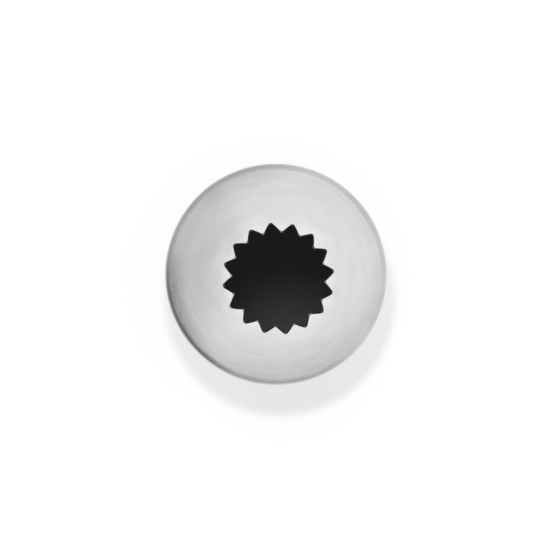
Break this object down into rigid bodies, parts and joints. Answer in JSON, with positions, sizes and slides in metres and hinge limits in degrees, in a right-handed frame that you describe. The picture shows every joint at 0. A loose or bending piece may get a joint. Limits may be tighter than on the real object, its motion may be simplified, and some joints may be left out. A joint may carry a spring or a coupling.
{
  "type": "piping nozzle",
  "caption": "Open star piping nozzle: a thin steel cone with a rolled rim at its wide end and a ring of pointed teeth, leaned inward, round its star-shaped outlet.",
  "frame": {"origin": "centre of the flat ring on which the nozzle stands, at its wide end", "axes": "+Z along the nozzle's axis, from the wide end to the star; +X through the root of one notch"},
  "size_m": [0.035, 0.035, 0.05],
  "materials": {
    "steel": "satin polished, with fine lines round the cone"
  },
  "bodies": {
    "root": {"nozzle_shell": "steel"}
  },
  "joints": []
}
